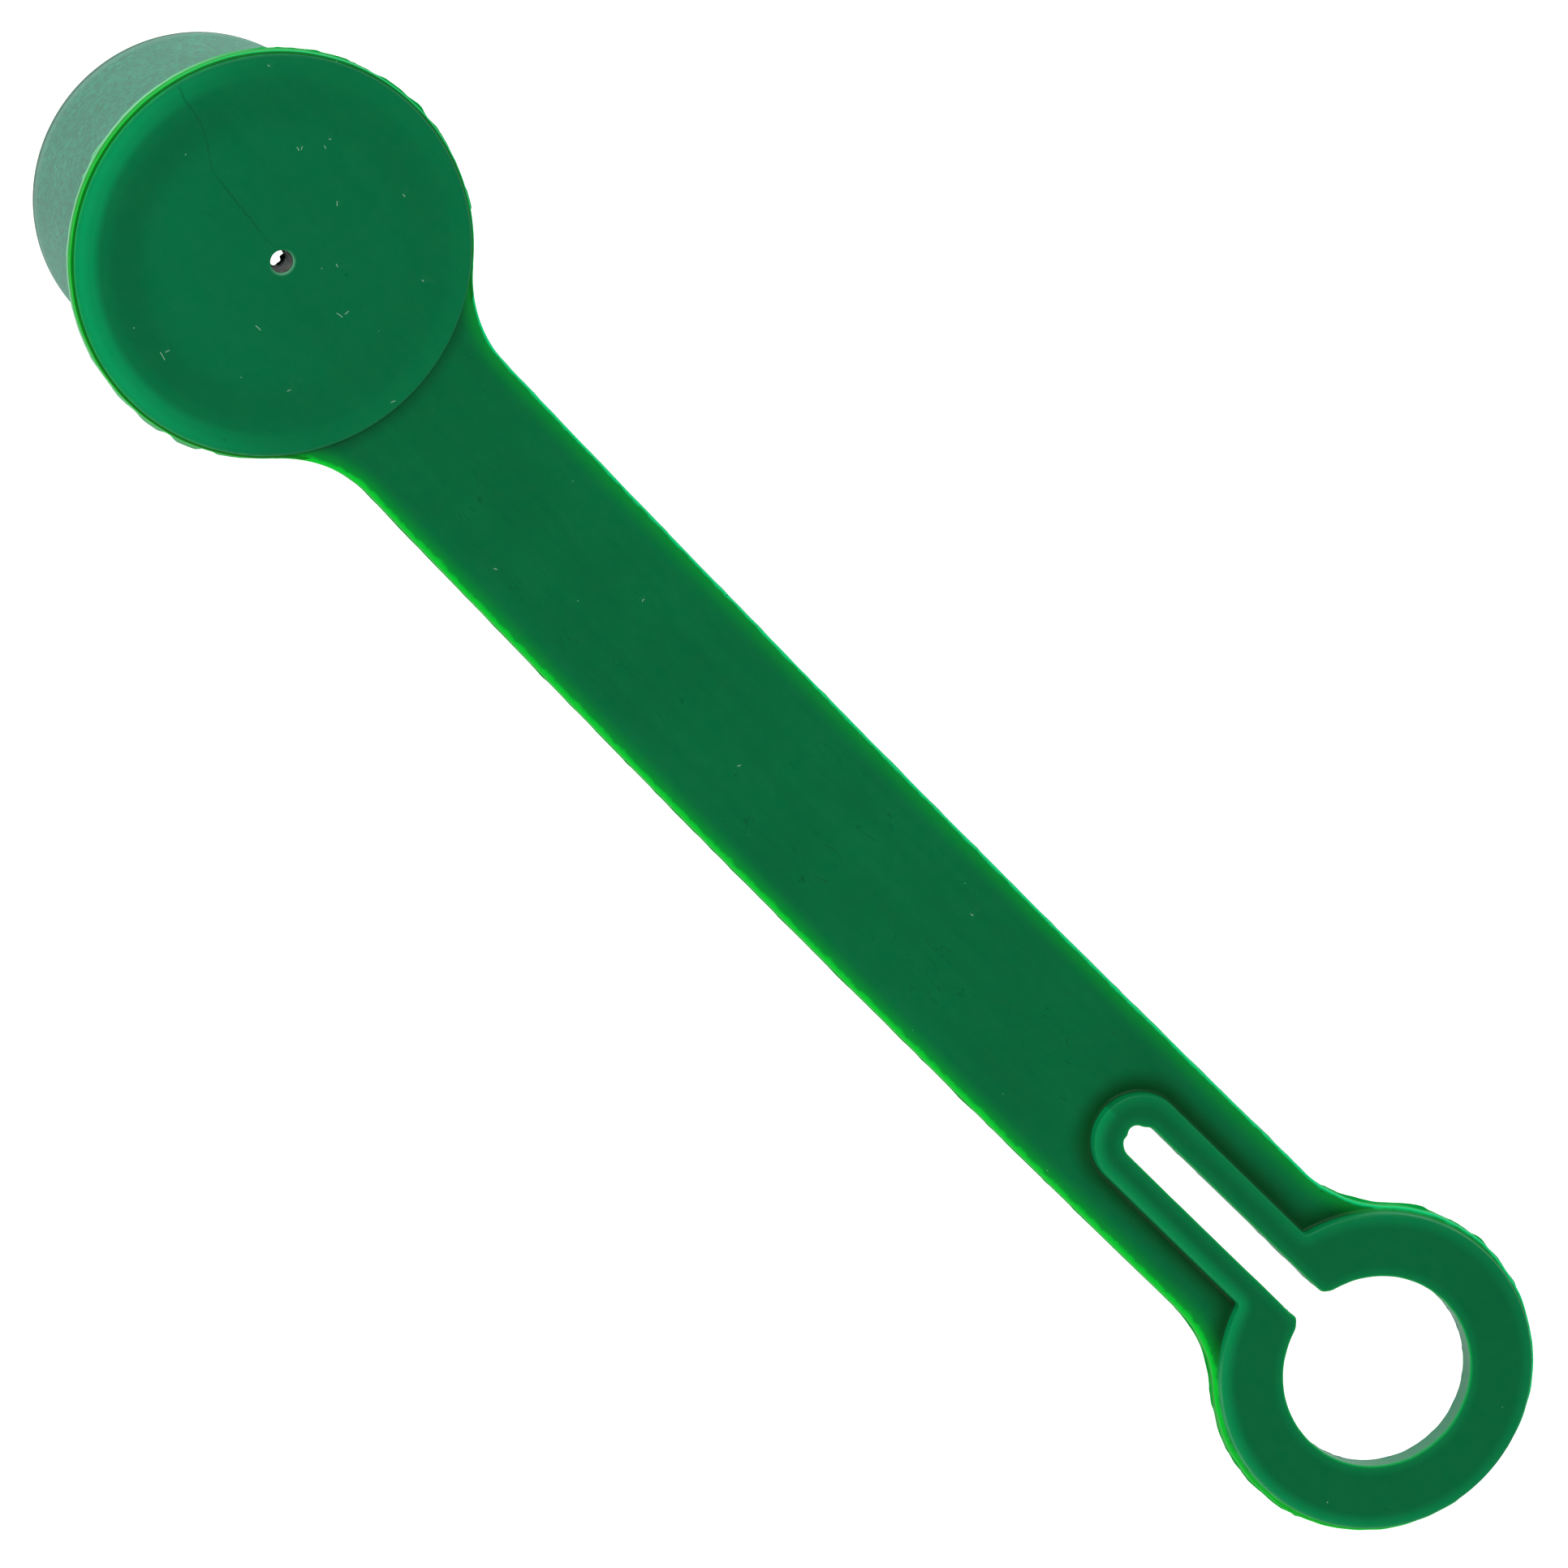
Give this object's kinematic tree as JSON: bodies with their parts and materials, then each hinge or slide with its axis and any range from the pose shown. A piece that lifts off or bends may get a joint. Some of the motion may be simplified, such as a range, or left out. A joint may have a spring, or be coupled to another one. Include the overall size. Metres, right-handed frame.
{
  "type": "tethered protective cap",
  "caption": "Deep round plastic cap with a flanged, vented end, tied by a flat flexible strap to a keyhole ring with a raised rim that slips round a neck.",
  "frame": {"origin": "On the plane of the cap's mouth, under the middle of the whole moulding's box; the cap's axis stands at x = -0.07065 and the ring's centre at x = 0.0739", "axes": "+X along the strap from the cap to the keyhole ring, +Y across the strap, +Z along the cap's axis from its open mouth up to its closed, flanged end"},
  "size_m": [0.1774, 0.036, 0.033],
  "materials": {
    "cap_plastic": "satin translucent green polyethylene",
    "strap_plastic": "satin translucent green polyethylene",
    "ring_plastic": "satin translucent green polyethylene"
  },
  "bodies": {
    "cap": {"cap": "cap_plastic"},
    "strap_1": {"strap_1": "strap_plastic"},
    "strap_2": {"strap_2": "strap_plastic"},
    "strap_3": {"strap_3": "strap_plastic"},
    "strap_4": {"strap_4": "strap_plastic"},
    "strap_5": {"strap_5": "strap_plastic"},
    "strap_6": {"strap_6": "strap_plastic"},
    "strap_7": {"strap_7": "strap_plastic"},
    "keyhole_ring": {"keyhole_ring": "ring_plastic"}
  },
  "joints": [
    {"name": "strap_bend_1", "type": "hinge", "parent": "cap", "child": "strap_1", "pos_m": [-0.04465, 0, 0.0311], "axis": [0, 1, 0], "range_deg": [-22.5, 22.5], "stiffness_Nm_per_rad": 0.3},
    {"name": "strap_bend_2", "type": "hinge", "parent": "strap_1", "child": "strap_2", "pos_m": [-0.03305, 0, 0.0311], "axis": [0, 1, 0], "range_deg": [-22.5, 22.5], "stiffness_Nm_per_rad": 0.3},
    {"name": "strap_bend_3", "type": "hinge", "parent": "strap_2", "child": "strap_3", "pos_m": [-0.02145, 0, 0.0311], "axis": [0, 1, 0], "range_deg": [-22.5, 22.5], "stiffness_Nm_per_rad": 0.3},
    {"name": "strap_bend_4", "type": "hinge", "parent": "strap_3", "child": "strap_4", "pos_m": [-0.00985, 0, 0.0311], "axis": [0, 1, 0], "range_deg": [-22.5, 22.5], "stiffness_Nm_per_rad": 0.3},
    {"name": "strap_bend_5", "type": "hinge", "parent": "strap_4", "child": "strap_5", "pos_m": [0.00175, 0, 0.0311], "axis": [0, 1, 0], "range_deg": [-22.5, 22.5], "stiffness_Nm_per_rad": 0.3},
    {"name": "strap_bend_6", "type": "hinge", "parent": "strap_5", "child": "strap_6", "pos_m": [0.01335, 0, 0.0311], "axis": [0, 1, 0], "range_deg": [-22.5, 22.5], "stiffness_Nm_per_rad": 0.3},
    {"name": "strap_bend_7", "type": "hinge", "parent": "strap_6", "child": "strap_7", "pos_m": [0.02495, 0, 0.0311], "axis": [0, 1, 0], "range_deg": [-22.5, 22.5], "stiffness_Nm_per_rad": 0.3},
    {"name": "strap_bend_8", "type": "hinge", "parent": "strap_7", "child": "keyhole_ring", "pos_m": [0.03655, 0, 0.0311], "axis": [0, 1, 0], "range_deg": [-22.5, 22.5], "stiffness_Nm_per_rad": 0.3}
  ]
}
